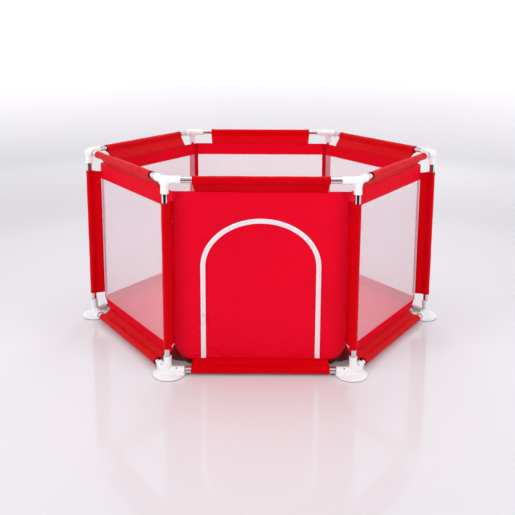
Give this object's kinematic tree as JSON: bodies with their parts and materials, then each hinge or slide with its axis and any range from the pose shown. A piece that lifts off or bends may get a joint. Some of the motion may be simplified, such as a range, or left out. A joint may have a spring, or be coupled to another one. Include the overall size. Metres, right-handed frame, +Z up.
{
  "type": "playpen",
  "caption": "Flattened hexagonal playpen: push-fit chromed tube frame on round white feet, red cloth cover with net sides, cloth floor and a zipped arched door.",
  "frame": {"origin": "on the ground, at the middle of the pen", "axes": "+X to the right along the front side, +Y from the front side to the back, +Z up; the front side, with the door, faces -Y"},
  "size_m": [1.3588, 1.06, 0.6505],
  "materials": {
    "white_plastic": "smooth moulded white plastic, semi-gloss",
    "chrome_tube": "bright polished steel tube",
    "red_cloth": "plain-woven red polyester, soft sheen",
    "net": "fine pale net that can be seen through, with red cloth borders",
    "zip_tape": "white woven zip tape with a nylon coil",
    "zip_metal": "white enamelled slider and pull"
  },
  "bodies": {
    "root": {"top_connector_front_left": "white_plastic", "foot_front_left": "white_plastic", "post_front_left": "chrome_tube", "post_sleeve_front_left": "red_cloth", "top_connector_front_right": "white_plastic", "foot_front_right": "white_plastic", "post_front_right": "chrome_tube", "post_sleeve_front_right": "red_cloth", "top_connector_right": "white_plastic", "foot_right": "white_plastic", "post_right": "chrome_tube", "post_sleeve_right": "red_cloth", "top_connector_back_right": "white_plastic", "foot_back_right": "white_plastic", "post_back_right": "chrome_tube", "post_sleeve_back_right": "red_cloth", "top_connector_back_left": "white_plastic", "foot_back_left": "white_plastic", "post_back_left": "chrome_tube", "post_sleeve_back_left": "red_cloth", "top_connector_left": "white_plastic", "foot_left": "white_plastic", "post_left": "chrome_tube", "post_sleeve_left": "red_cloth", "top_rail_front": "chrome_tube", "bottom_rail_front": "chrome_tube", "top_sleeve_front": "red_cloth", "bottom_sleeve_front": "red_cloth", "top_rail_front_right": "chrome_tube", "bottom_rail_front_right": "chrome_tube", "top_sleeve_front_right": "red_cloth", "bottom_sleeve_front_right": "red_cloth", "net_wall_front_right": "net", "top_rail_back_right": "chrome_tube", "bottom_rail_back_right": "chrome_tube", "top_sleeve_back_right": "red_cloth", "bottom_sleeve_back_right": "red_cloth", "net_wall_back_right": "net", "top_rail_back": "chrome_tube", "bottom_rail_back": "chrome_tube", "top_sleeve_back": "red_cloth", "bottom_sleeve_back": "red_cloth", "net_wall_back": "net", "top_rail_back_left": "chrome_tube", "bottom_rail_back_left": "chrome_tube", "top_sleeve_back_left": "red_cloth", "bottom_sleeve_back_left": "red_cloth", "net_wall_back_left": "net", "top_rail_front_left": "chrome_tube", "bottom_rail_front_left": "chrome_tube", "top_sleeve_front_left": "red_cloth", "bottom_sleeve_front_left": "red_cloth", "net_wall_front_left": "net", "front_panel": "red_cloth", "floor_mat": "red_cloth", "zip_tape_panel": "zip_tape"},
    "door": {"door_flap": "red_cloth", "zip_tape_door": "zip_tape"},
    "zip_slider": {"zip_slider": "zip_metal"},
    "zip_pull": {"zip_pull": "zip_metal"}
  },
  "joints": [
    {"name": "door_hinge", "type": "hinge", "parent": "root", "child": "door", "pos_m": [0, -0.4503, 0.044], "axis": [1, 0, 0], "range_deg": [0, 90]},
    {"name": "zip_slide", "type": "slide", "parent": "door", "child": "zip_slider", "axis": [0, 0, 1], "range_m": [-0.095, 0.15]},
    {"name": "zip_pull_swing", "type": "hinge", "parent": "zip_slider", "child": "zip_pull", "pos_m": [-0.183, -0.4587, 0.19], "axis": [-1, 0, 0], "range_deg": [0, 160]}
  ]
}
